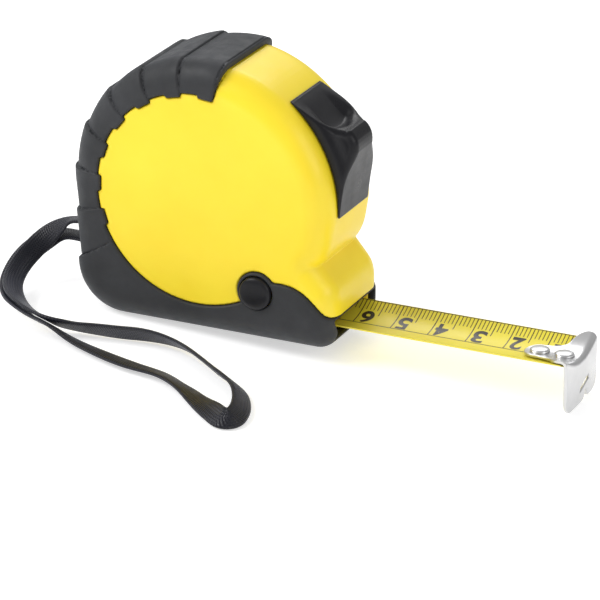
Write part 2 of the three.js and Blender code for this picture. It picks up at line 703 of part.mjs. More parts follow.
const caseGroup = new THREE.Group();
place(caseGroup, "near_shell", nearShell(), YELLOW());
place(caseGroup, "far_shell", farShell(), YELLOW());
place(caseGroup, "near_grip", nearGrip(), RUBBER());
place(caseGroup, "far_grip", farGrip(), RUBBER());
place(caseGroup, "centre_post", centrePost(), INNER_PLASTIC());
CASE_SCREWS.forEach((at, i) => place(caseGroup, `case_screw_${i + 1}`, caseScrew(at), SPRING_STEEL()));
place(caseGroup, "belt_clip", beltClip(), CHROME());
place(caseGroup, "clip_screw", clipScrew(), SPRING_STEEL());
place(caseGroup, "strap_pin", strapPinBody(0), SPRING_STEEL());
place(caseGroup, "wrist_strap", wristStrap(), WEBBING());
place(caseGroup, "button_spring", buttonSpring(), SPRING_STEEL());

const reelGroup = new THREE.Group();
place(reelGroup, "reel_drum", reelDrum(), INNER_PLASTIC());
place(reelGroup, "drum_cover", drumCover(), INNER_PLASTIC());
place(reelGroup, "power_spring", powerSpring(), SPRING_STEEL());
place(reelGroup, "blade_coil", bladeCoil(), TAPE_YELLOW());

const bladeGroup = new THREE.Group();
place(bladeGroup, "blade_strip", bladeStrip(), TAPE_YELLOW());
RIVETS.forEach((x, i) => place(bladeGroup, `hook_rivet_${i + 1}`, hookRivet(x), CHROME()));
place(bladeGroup, "end_hook", endHook(), CHROME());

const controlGroup = new THREE.Group();
place(controlGroup, "thumb_lock", thumbLock(), BLACK_PLASTIC());
place(controlGroup, "lock_tongue", lockTongue(), INNER_PLASTIC());
place(controlGroup, "brake_button", brakeButton(), BLACK_PLASTIC());
place(controlGroup, "brake_pad", brakePad(), RUBBER());

tape.add(caseGroup, reelGroup, bladeGroup, controlGroup);

export default tape;
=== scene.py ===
"""Pocket tape measure: the looks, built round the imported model. Shapes are worked out in millimetres in
the part's frame (+X the way the blade leaves, +Z up, -Y the button's side) and scaled to metres as
each mesh is made."""
import math

import bmesh
import bpy
import numpy as np
from mathutils import Matrix, Vector


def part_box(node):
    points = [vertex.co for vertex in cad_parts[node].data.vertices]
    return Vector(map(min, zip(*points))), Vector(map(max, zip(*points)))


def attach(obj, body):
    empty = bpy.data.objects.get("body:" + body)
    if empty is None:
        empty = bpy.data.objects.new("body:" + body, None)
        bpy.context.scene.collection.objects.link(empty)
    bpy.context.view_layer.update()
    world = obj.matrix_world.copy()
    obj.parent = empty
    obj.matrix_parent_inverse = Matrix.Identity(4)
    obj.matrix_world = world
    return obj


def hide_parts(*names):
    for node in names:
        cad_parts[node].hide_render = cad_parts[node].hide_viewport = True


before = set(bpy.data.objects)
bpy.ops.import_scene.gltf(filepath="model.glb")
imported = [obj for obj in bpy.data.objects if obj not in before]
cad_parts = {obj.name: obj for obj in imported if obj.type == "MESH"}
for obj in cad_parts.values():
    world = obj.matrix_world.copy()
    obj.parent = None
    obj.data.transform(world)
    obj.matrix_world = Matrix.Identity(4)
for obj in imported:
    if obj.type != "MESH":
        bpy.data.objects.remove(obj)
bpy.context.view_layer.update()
MM = 0.001


def node_box(name):
    """A CAD node's lowest and highest corner, in millimetres."""
    low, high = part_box(name)
    return np.array(low) / MM, np.array(high) / MM


def node_middle(name):
    low, high = node_box(name)
    return (low + high) / 2


# ---- driving dimensions in millimetres, from the frame where it has them -----------------------
GRIP_HIGH = node_box("near_grip")[1]
FRONT_X, REAR_X = GRIP_HIGH[0], -35.4
GRIP_HALF = node_box("far_grip")[1][1]
SHELL_HALF = -node_box("near_shell")[0][1]
SEAM_Y = (GRIP_HIGH[1] + node_box("far_grip")[0][1]) / 2
REEL_Z = node_box("centre_post")[1][2] - 3
GRIP_R = GRIP_HIGH[2] - REEL_Z
SHELL_INSET = 1.5  # the yellow lies this far inside the rubber's outline, except at the nose
SHELL_R = GRIP_R - SHELL_INSET
BUTTON_LOW, BUTTON_HIGH = node_box("brake_button")
BUTTON_X, _, BUTTON_Z = node_middle("brake_button")
BUTTON_R = (BUTTON_HIGH[0] - BUTTON_LOW[0]) / 2
BLADE_LOW, BLADE_HIGH = node_box("blade_strip")
BLADE_HALF = BLADE_HIGH[1]
BLADE_EDGE_Z = BLADE_HIGH[2]
HOOK_LOW, HOOK_HIGH = node_box("end_hook")
HOOK_THICK = 0.9
ZERO_X = HOOK_HIGH[0] - HOOK_THICK

MOUTH_TOP = 8.0
MOUTH_FLOOR = 2.4
TREADS_FROM = 80.4  # degrees about the reel's axis, counted from +X
TREAD_PITCH = 18.7
TREADS = 7
FLOOR_SLOPE = 0.0627  # the case's heel and the hook's lowest tip both touch the surface
HEEL_X = -21.0

CAMERA_PLACE = (404.6, -819.6, 378.3)
CAMERA_TURN = 25.1122  # degrees round the vertical from looking along +Y
CAMERA_RISE = 22.3337  # degrees above the horizon
LENS, SENSOR = 236.5, 36


# ---- camera, light and floor -------------------------------------------------------------------
LIT_POINT = Vector((0.01, 0, 0.03))
SKY_STRENGTH = 0.58
FLOOR_REACH = 6
FLOOR_TILTED = (-0.15, 0.3)  # the stretch in x, in metres, that slopes: it is level beyond
FLOOR_GAP = 0.0002


def new_piece(name, mesh):
    piece = bpy.data.objects.new(name, mesh)
    bpy.context.scene.collection.objects.link(piece)
    return piece


def set_camera():
    data = bpy.data.cameras.new("camera")
    data.sensor_width = SENSOR
    data.lens = LENS
    camera = bpy.data.objects.new("camera", data)
    camera.location = Vector(CAMERA_PLACE) * MM
    camera.rotation_euler = (math.radians(90 - CAMERA_RISE), 0, math.radians(CAMERA_TURN))
    data.clip_start = 0.05
    data.clip_end = 20
    bpy.context.scene.collection.objects.link(camera)
    bpy.context.scene.camera = camera


def area_light(name, place, size, power):
    """A white rectangle that shines on the object."""
    data = bpy.data.lights.new(name, "AREA")
    data.shape = "RECTANGLE"
    data.size, data.size_y = size
    data.energy = power
    light = bpy.data.objects.new(name, data)
    light.location = place
    aim = LIT_POINT - Vector(place)
    light.rotation_euler = aim.to_track_quat("-Z", "Y").to_euler()
    bpy.context.scene.collection.objects.link(light)


def set_sky():
    """A white sky, brightest overhead and towards -X."""
    scene = bpy.context.scene
    scene.view_settings.view_transform = "Standard"
    scene.world = bpy.data.worlds.new("studio")
    scene.world.use_nodes = True
    sky = scene.world.node_tree.nodes["Background"]
    sky.inputs["Color"].default_value = (1, 1, 1, 1)
    n = Nodes(scene.world.node_tree, "Generated")
    toward = n.add("ShaderNodeSeparateXYZ")
    n.join(n.place, toward.inputs["Vector"])
    overhead = n.spread(toward.outputs["Z"], -0.02, 0.18, 0.25, 1.0)
    from_side = n.spread(toward.outputs["X"], -0.3, 0.8, 1.0, 0.75)
    glow = n.math("MULTIPLY", n.math("MULTIPLY", overhead, from_side), SKY_STRENGTH)
    n.join(glow, sky.inputs["Strength"])


def set_floor():
    mesh = bpy.data.meshes.new("floor")
    points = []
    start, end = FLOOR_TILTED
    for x, slope_x in ((-FLOOR_REACH, start), (start, start), (end, end), (FLOOR_REACH, end)):
        z = -FLOOR_SLOPE * (slope_x - HEEL_X * MM) - FLOOR_GAP
        points += [(x, -FLOOR_REACH, z), (x, FLOOR_REACH, z)]
    mesh.from_pydata(points, [], [(i, i + 2, i + 3, i + 1) for i in (0, 2, 4)])
    floor = new_piece("floor", mesh)
    mesh.materials.append(floor_paper())


def set_studio():
    set_sky()
    area_light("key", (-0.6, -0.45, 0.7), (0.5, 0.4), 6.5)
    area_light("front_fill", (0.75, -0.2, 0.35), (0.4, 0.4), 1.5)
    area_light("back_strip", (-0.2, 0.6, 0.6), (0.6, 0.2), 2)
    set_floor()


# ---- materials ---------------------------------------------------------------------------------
def new_material(name):
    material = bpy.data.materials.new(name)
    material.use_nodes = True
    return material, material.node_tree, material.node_tree.nodes["Principled BSDF"]


def floor_paper():
    """White backdrop paper that glows a little, so that shadows stay faint."""
    material, _, shader = new_material("floor_paper")
    shader.inputs["Base Color"].default_value = (0.7, 0.7, 0.7, 1)
    shader.inputs["Roughness"].default_value = 0.9
    shader.inputs["Emission Color"].default_value = (1, 1, 1, 1)
    shader.inputs["Emission Strength"].default_value = 0.55
    return material


class Nodes:
    """Short calls for a material's nodes: each returns the output socket to use next."""

    def __init__(self, tree, place="Object"):
        self.tree = tree
        self.place = self.add("ShaderNodeTexCoord").outputs[place]

    def add(self, kind):
        return self.tree.nodes.new(kind)

    def join(self, value, socket):
        if isinstance(value, bpy.types.NodeSocket):
            self.tree.links.new(value, socket)
        else:
            socket.default_value = value

    def noise(self, per_metre, detail=4, roughness=0.5, stretch=(1, 1, 1), offset=(0, 0, 0)):
        shift = self.add("ShaderNodeMapping")
        self.join(self.place, shift.inputs["Vector"])
        shift.inputs["Scale"].default_value = stretch
        shift.inputs["Location"].default_value = offset
        node = self.add("ShaderNodeTexNoise")
        self.join(shift.outputs["Vector"], node.inputs["Vector"])
        node.inputs["Scale"].default_value = per_metre
        node.inputs["Detail"].default_value = detail
        node.inputs["Roughness"].default_value = roughness
        return node.outputs["Fac"]

    def math(self, kind, a, b=0.0, clamp=False):
        node = self.add("ShaderNodeMath")
        node.operation = kind
        node.use_clamp = clamp
        self.join(a, node.inputs[0])
        self.join(b, node.inputs[1])
        return node.outputs[0]

    def spread(self, value, from_low, from_high, to_low, to_high):
        node = self.add("ShaderNodeMapRange")
        self.join(value, node.inputs["Value"])
        node.inputs["From Min"].default_value = from_low
        node.inputs["From Max"].default_value = from_high
        node.inputs["To Min"].default_value = to_low
        node.inputs["To Max"].default_value = to_high
        return node.outputs["Result"]

    def mix(self, factor, a, b):
        node = self.add("ShaderNodeMix")
        node.data_type = "RGBA"
        self.join(factor, node.inputs["Factor"])
        self.join(a if isinstance(a, bpy.types.NodeSocket) else (*a, 1), node.inputs["A"])
        self.join(b if isinstance(b, bpy.types.NodeSocket) else (*b, 1), node.inputs["B"])
        return node.outputs["Result"]

    def bump(self, height, distance, strength=1.0, before=None):
        node = self.add("ShaderNodeBump")
        node.inputs["Strength"].default_value = strength
        node.inputs["Distance"].default_value = distance
        self.join(height, node.inputs["Height"])
        if before is not None:
            self.join(before, node.inputs["Normal"])
        return node.outputs["Normal"]


def yellow_plastic():
    """Glossy moulded ABS with a faint orange peel and a slightly deeper colour in patches."""
    material, tree, shader = new_material("shell_yellow")
    n = Nodes(tree)
    patches = n.noise(45, 3)
    colour = n.mix(n.spread(patches, 0.3, 0.7, 0, 1), (0.93, 0.695, 0.017), (0.965, 0.75, 0.028))
    n.join(colour, shader.inputs["Base Color"])
    n.join(n.spread(n.noise(160, 3), 0.3, 0.7, 0.34, 0.44), shader.inputs["Roughness"])
    fine = n.bump(n.noise(2600, 3), 0.00004, 0.5)
    n.join(n.bump(n.noise(260, 2), 0.00008, 0.35, fine), shader.inputs["Normal"])
    shader.inputs["Subsurface Weight"].default_value = 0.06
    shader.inputs["Subsurface Radius"].default_value = (0.002, 0.001, 0.0003)
    return material


def grip_rubber():
    """Dark grey moulded rubber: matt, with a fine grain, dust in patches and a cool sheen."""
    material, tree, shader = new_material("grip_rubber")
    n = Nodes(tree)
    dust = n.spread(n.noise(70, 5, 0.6), 0.42, 0.75, 0, 1)
    colour = n.mix(dust, (0.024, 0.025, 0.027), (0.036, 0.037, 0.041))
    n.join(colour, shader.inputs["Base Color"])
    n.join(n.spread(n.noise(300, 4), 0.3, 0.7, 0.5, 0.66), shader.inputs["Roughness"])
    grain = n.bump(n.noise(3200, 4, 0.6), 0.00006, 0.6)
    n.join(n.bump(n.noise(420, 3), 0.00008, 0.4, grain), shader.inputs["Normal"])
    shader.inputs["Specular IOR Level"].default_value = 0.3
    shader.inputs["Sheen Weight"].default_value = 0.06
    shader.inputs["Sheen Roughness"].default_value = 0.5
    shader.inputs["Sheen Tint"].default_value = (0.6, 0.68, 0.8, 1)
    return material


def black_plastic(name, colour, rough_low, rough_high):
    """Moulded black plastic with handling marks that change its gloss."""
    material, tree, shader = new_material(name)
    n = Nodes(tree)
    shader.inputs["Specular IOR Level"].default_value = 0.21
    dust = n.spread(n.noise(90, 5, 0.6), 0.45, 0.8, 0, 1)
    n.join(n.mix(dust, colour, tuple(1.5 * c + 0.004 for c in colour)), shader.inputs["Base Color"])
    n.join(n.spread(n.noise(220, 4), 0.3, 0.7, rough_low, rough_high), shader.inputs["Roughness"])
    fine = n.bump(n.noise(2400, 3), 0.00003, 0.5)
    n.join(n.bump(n.noise(500, 3), 0.00004, 0.3, fine), shader.inputs["Normal"])
    return material


def plated(name, colour, rough_low, rough_high, streak=(1, 1, 1)):
    """Bright plate with faint polishing streaks, small dents and duller smudges."""
    material, tree, shader = new_material(name)
    n = Nodes(tree)
    shader.inputs["Metallic"].default_value = 1
    smudge = n.noise(120, 4, 0.6)
    n.join(n.mix(smudge, colour, tuple(c * 0.82 for c in colour)), shader.inputs["Base Color"])
    n.join(n.spread(smudge, 0.3, 0.7, rough_low, rough_high), shader.inputs["Roughness"])
    fine = n.bump(n.noise(900, 3, 0.5, streak), 0.00002, 0.25)
    n.join(n.bump(n.noise(180, 2), 0.00005, 0.3, fine), shader.inputs["Normal"])
    return material


def webbing():
    """Woven strap: slanting cross ribs and yarns along the mesh's own UVs, in millimetres."""
    material, tree, shader = new_material("strap_webbing")
    n = Nodes(tree)
    split = n.add("ShaderNodeSeparateXYZ")
    n.join(n.add("ShaderNodeTexCoord").outputs["UV"], split.inputs["Vector"])
    along, across = split.outputs["X"], split.outputs["Y"]
    slant = n.math("MULTIPLY", n.math("ABSOLUTE", across), 0.35)
    ribs = n.math("SINE", n.math("MULTIPLY", n.math("ADD", along, slant), math.tau / RIB_PITCH))
    yarns = n.math("SINE", n.math("MULTIPLY", across, math.tau / YARN_PITCH))
    weave = n.math("ADD", ribs, n.math("MULTIPLY", yarns, 0.5))
    fuzz = n.noise(2500, 4, 0.65)
    # The base colour follows the weave's height: painted shade in the grooves between ribs and yarns and a
    # painted bluish highlight on their crests; the fuzz adds random tone.
    painted_weave_shade_and_fuzz = n.math("ADD", n.spread(weave, -1.5, 1.5, 0.15, 0.7), n.spread(fuzz, 0.3, 0.7, -0.15, 0.3), True)
    n.join(n.mix(painted_weave_shade_and_fuzz, (0.002, 0.002, 0.005), (0.008, 0.009, 0.018)), shader.inputs["Base Color"])
    n.join(n.spread(n.noise(160, 4), 0.3, 0.7, 0.34, 0.5), shader.inputs["Roughness"])
    low = n.bump(fuzz, 0.00008, 0.4)
    n.join(n.bump(weave, 0.00007, 0.7, low), shader.inputs["Normal"])
    shader.inputs["Specular IOR Level"].default_value = 0.4
    shader.inputs["Sheen Weight"].default_value = 0.08
    shader.inputs["Sheen Roughness"].default_value = 0.4
    shader.inputs["Sheen Tint"].default_value = (0.55, 0.6, 0.85, 1)
    return material


def tape_lacquer():
    """The blade's yellow paint under clear lacquer, a little uneven and duller where it has rubbed."""
    material, tree, shader = new_material("blade_yellow")
    n = Nodes(tree)
    worn = n.noise(110, 5, 0.6, (0.4, 1, 1))
    n.join(n.mix(worn, (0.74, 0.6, 0.03), (0.84, 0.74, 0.06)), shader.inputs["Base Color"])
    n.join(n.spread(worn, 0.3, 0.7, 0.3, 0.48), shader.inputs["Roughness"])
    scratches = n.bump(n.noise(1500, 3, 0.5, (0.15, 1, 1)), 0.00002, 0.5)
    n.join(n.bump(n.noise(150, 2), 0.00010, 0.3, scratches), shader.inputs["Normal"])
    return material


def ink(name, colour):
    """Printed ink, thinner in specks."""
    material, tree, shader = new_material(name)
    n = Nodes(tree)
    thin = n.spread(n.noise(1900, 4, 0.6), 0.5, 0.8, 0, 1)
    n.join(n.mix(thin, colour, tuple(c * 1.6 + 0.03 for c in colour)), shader.inputs["Base Color"])
    n.join(n.spread(thin, 0, 1, 0.35, 0.5), shader.inputs["Roughness"])
    n.join(n.bump(thin, 0.00001, 0.3), shader.inputs["Normal"])
    return material


MATERIALS = {}
NODE_SLOTS = {
    "inner_plastic": ("centre_post", "reel_drum", "drum_cover", "lock_tongue"),
    "screw_steel": ("strap_pin",),
    "spring_steel": ("button_spring", "power_spring"),
    "blade_yellow": ("blade_coil",),
    "pad_rubber": ("brake_pad",),
}


def make_materials():
    MATERIALS["shell_yellow"] = yellow_plastic()
    MATERIALS["grip_rubber"] = grip_rubber()
    MATERIALS["lock_black"] = black_plastic("lock_black", (0.009, 0.009, 0.011), 0.26, 0.38)
    MATERIALS["inner_plastic"] = black_plastic("inner_plastic", (0.03, 0.03, 0.034), 0.45, 0.6)
    MATERIALS["pad_rubber"] = black_plastic("pad_rubber", (0.03, 0.03, 0.03), 0.65, 0.8)
    MATERIALS["hook_chrome"] = plated("hook_chrome", (0.70, 0.70, 0.705), 0.26, 0.38)
    MATERIALS["clip_chrome"] = plated("clip_chrome", (0.84, 0.84, 0.85), 0.14, 0.3, (1, 1, 0.1))
    MATERIALS["screw_steel"] = plated("screw_steel", (0.52, 0.53, 0.55), 0.24, 0.42)
    MATERIALS["spring_steel"] = plated("spring_steel", (0.34, 0.36, 0.4), 0.25, 0.4, (1, 0.1, 1))
    MATERIALS["strap_webbing"] = webbing()
    MATERIALS["blade_yellow"] = tape_lacquer()
    MATERIALS["blade_ink"] = ink("blade_ink", (0.022, 0.016, 0.010))
    for slot, names in NODE_SLOTS.items():
        for name in names:
            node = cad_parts[name]
            node.data.materials.clear()
            node.data.materials.append(MATERIALS[slot])


def dress(piece, slot):
    """Gives a piece the procedural material of a slot in MATERIALS."""
    piece.data.materials.clear()
    piece.data.materials.append(MATERIALS[slot])


# ---- solid modelling by signed distance ----------------------------------------------------------
def soft_max(a, b, blend):
    near = np.maximum(blend - np.abs(a - b), 0) / blend
    return np.maximum(a, b) + near * near * blend / 4


def soft_min(a, b, blend):
    return -soft_max(-a, -b, blend)


def arc(x, z, r, start, end, steps):
    angles = np.radians(np.linspace(start, end, steps + 1))
    return np.column_stack([x + r * np.cos(angles), z + r * np.sin(angles)])


def bend(a, b, c, steps):
    t = np.linspace(0, 1, steps + 1)[:, None]
    return (1 - t) ** 2 * np.array(a) + 2 * t * (1 - t) * np.array(b) + t * t * np.array(c)


def polygon_distance(points, x, z):
    """Distance from a closed outline, negative inside."""
    x, z = np.broadcast_arrays(np.asarray(x, float), np.asarray(z, float))
    nearest = np.full(x.shape, 1e9)
    inside = np.zeros(x.shape, bool)
    for (ax, az), (bx, bz) in zip(points, np.roll(points, -1, axis=0)):
        ex, ez = bx - ax, bz - az
        along = np.clip(((x - ax) * ex + (z - az) * ez) / max(ex * ex + ez * ez, 1e-12), 0, 1)
        nearest = np.minimum(nearest, (x - ax - along * ex) ** 2 + (z - az - along * ez) ** 2)
        if az != bz:
            inside ^= ((az > z) != (bz > z)) & (x < ex * (z - az) / ez + ax)
    return np.where(inside, -1, 1) * np.sqrt(nearest)


class Outline:
    """An outline's signed distance, kept on a fine grid so that it is quick to ask for."""

    STEP = 0.25

    def __init__(self, points, margin=6):
        points = np.array(points, float)
        self.low = points.min(0) - margin
        count = np.ceil((points.max(0) + margin - self.low) / self.STEP).astype(int) + 1
        x, z = (self.low[i] + self.STEP * np.arange(count[i]) for i in (0, 1))
        self.grid = polygon_distance(points, x[:, None], z[None, :])

    def __call__(self, x, z):
        x, z = np.broadcast_arrays(x, z)
        u, w = (x - self.low[0]) / self.STEP, (z - self.low[1]) / self.STEP
        i = np.clip(u.astype(int), 0, self.grid.shape[0] - 2)
        k = np.clip(w.astype(int), 0, self.grid.shape[1] - 2)
        u, w = np.clip(u - i, 0, 1), np.clip(w - k, 0, 1)
        g = self.grid
        near = g[i, k] * (1 - u) + g[i + 1, k] * u
        far = g[i, k + 1] * (1 - u) + g[i + 1, k + 1] * u
        return near * (1 - w) + far * w


def rounded(across, y, half, round_):
    """An outline's distance given thickness up to half each way, with its rim rounded."""
    a, b = across + round_, np.abs(y) - half + round_
    return np.sqrt(np.maximum(a, 0) ** 2 + np.maximum(b, 0) ** 2) + np.minimum(np.maximum(a, b), 0) - round_


CORNERS = np.array([(i, j, k) for i in (0, 1) for j in (0, 1) for k in (0, 1)])
EDGES = [(a, b) for a in range(8) for b in range(a + 1, 8) if np.abs(CORNERS[a] - CORNERS[b]).sum() == 1]


def gradient(field, points, reach):
    parts = []
    for axis in range(3):
        shift = np.zeros(3)
        shift[axis] = reach
        ahead, behind = (points + shift).T, (points - shift).T
        parts.append((field(*ahead) - field(*behind)) / (2 * reach))
    return np.stack(parts, 1)


def grown(name, field, low, high, step, keep=1.0):
    """The surface where field is zero (it is negative inside), between two corners, as surface nets:
    a point in each cell that the surface crosses, moved onto it, and a face round each crossed edge."""
    axes = [np.arange(a, b + step, step) for a, b in zip(low, high)]
    x, y, z = np.ix_(*axes)
    values = np.broadcast_to(field(x, y, z), tuple(len(a) for a in axes))
    inside = values < 0
    size = np.array(values.shape) - 1
    full = sum(inside[i:i + size[0], j:j + size[1], k:k + size[2]].astype(np.int8) for i, j, k in CORNERS)
    cells = np.argwhere((full > 0) & (full < 8))
    number = np.full(size, -1)
    number[tuple(cells.T)] = np.arange(len(cells))
    total, hits = np.zeros((len(cells), 3)), np.zeros((len(cells), 1))
    for a, b in EDGES:
        va, vb = (values[tuple((cells + CORNERS[c]).T)] for c in (a, b))
        crossed = ((va < 0) != (vb < 0))[:, None]
        share = (va / np.where(va == vb, 1, va - vb))[:, None]
        total += crossed * (CORNERS[a] + share * (CORNERS[b] - CORNERS[a]))
        hits += crossed
    points = np.array(low) + (cells + total / hits) * step
    for _ in range(2):
        slope = gradient(field, points, step / 8)
        steep = np.maximum((slope**2).sum(1), 0.2)
        move = np.clip(field(*points.T) / steep, -step / 2, step / 2)
        points = points - move[:, None] * slope
    faces = []
    for axis in range(3):
        b, c = np.eye(3, dtype=int)[[(axis + 1) % 3, (axis + 2) % 3]]
        lower = tuple(slice(0, -1) if i == axis else slice(1, -1) for i in range(3))
        upper = tuple(slice(1, None) if i == axis else slice(1, -1) for i in range(3))
        changed = np.argwhere(inside[lower] != inside[upper])
        at = changed + b + c
        quad = np.stack([number[tuple((at - shift).T)] for shift in (b + c, c, 0 * b, b)], 1)
        leaving = inside[lower][tuple(changed.T)]
        quad[~leaving] = quad[~leaving][:, ::-1]
        faces.append(quad)
    mesh = bpy.data.meshes.new(name)
    faces = np.concatenate(faces)
    mesh.from_pydata((points * MM).tolist(), [], faces.tolist())
    piece = new_piece(name, mesh)
    if keep < 1:
        thin = piece.modifiers.new("thin", "DECIMATE")
        thin.ratio = keep
        bake_modifiers(piece)
    smooth_by_field(piece, field, step)
    return piece


def smooth_by_field(piece, field, step):
    """Shades a grown mesh by the field's own slope, so that its facets don't show."""
    mesh = piece.data
    points = np.zeros(len(mesh.vertices) * 3)
    mesh.vertices.foreach_get("co", points)
    slope = gradient(field, points.reshape(-1, 3) / MM, step / 4)
    slope /= np.maximum(np.linalg.norm(slope, axis=1, keepdims=True), 1e-9)
    mesh.polygons.foreach_set("use_smooth", [True] * len(mesh.polygons))
    mesh.normals_split_custom_set_from_vertices(slope.tolist())


def bake_modifiers(piece):
    graph = bpy.context.evaluated_depsgraph_get()
    made = bpy.data.meshes.new_from_object(piece.evaluated_get(graph))
    piece.modifiers.clear()
    old, piece.data = piece.data, made
    made.name = piece.name
    bpy.data.meshes.remove(old)


# ---- the case ------------------------------------------------------------------------------------
CASE_STEP = 0.45
CASE_SCREWS = ("case_screw_1", "case_screw_2", "case_screw_3")
SCREW_SUNK = {"case_screw_2": 1.5}  # deeper, because the case's rim is rounded off there
SCREW_HEAD = 1.6
SCREW_RECESS_R = 2.55
NOSE_Z, CHEEK_Z = 21.2, 31  # heights between which the yellow front moves out to the full outline
SIDE_DISC_X, SIDE_DISC_Z, SIDE_DISC_R = -0.3, 34.8, 27.3
TOOTH = 0.9  # how far the treads' teeth reach into the side disc
CORE = (1.8, 14.2, 4.5)  # inset from the outline, half thickness and rim rounding
ROOM = (3.5, 12.5, 2.5)
CHANNEL_HALF = (27, 10, 2.6)  # the blade's way through the case, about the middle (-0.5, 0, 5)
WELL_GAP = 0.18
WELL_FLOOR_Y, STEM_HOLE_R, STEM_HOLE_Y = -13.6, 1.9, -10
TREAD_STEP, GROOVE_DEPTH, GROOVE_HALF = 0.75, 0.45, 0.45


def case_outline(inset, circle_r, toe_round=5.2):
    """Side outline: flat base, round toe, bent nose, waist, round top, straight rear."""
    toe_x, rear_x, rear_round, join = FRONT_X - inset, REAR_X + inset, 13.0, -2
    knee = arc(0, REEL_Z, circle_r, join, join, 1)[0]
    waist = (toe_x - 5.2, NOSE_Z)
    return np.concatenate([
        arc(toe_x - toe_round, inset + toe_round, toe_round, -90, 0, 12),
        bend((toe_x, 11.5), (toe_x, 15.3), (toe_x - 2.2, 17.6), 8),
        bend(waist, (knee[0] - 0.25, 27.0), knee, 10)[:-1],
        arc(0, REEL_Z, circle_r, join, 180, 62),
        arc(rear_x + rear_round, inset + rear_round, rear_round, 180, 270, 16),
    ])


def front_outline():
    """The yellow in front of the rubber: behind it lies the side disc, below it the toe."""
    return np.concatenate([
        [(60, 8.6), (60, 90), (6.7, 90), (6.7, 68.5), (5.1, 63.9), (4.2, 60.2), (0, 45), (0, 22), (19, 16.5)],
        [(22.5, 16.6)],
        bend((24.5, 16.4), (29, 15.6), (32.2, 11.2), 8),
        bend((32.8, 10.4), (34, 8.6), (36, 8.6), 5),
    ])


def angle_at(x, z):
    """Degrees about the reel's axis, from 0 to 360, measured from +X up."""
    return np.degrees(np.arctan2(z - REEL_Z, x)) % 360


def ramp(value, low, high):
    t = np.clip((value - low) / (high - low), 0, 1)
    return t * t * (3 - 2 * t)


def tread_phase(x, z):
    """How far each point is through its tread, 0 to 1, and whether it lies on the treads' run."""
    turn = (angle_at(x, z) - TREADS_FROM) / TREAD_PITCH
    return turn - np.floor(turn), (turn > 0) & (turn < TREADS)


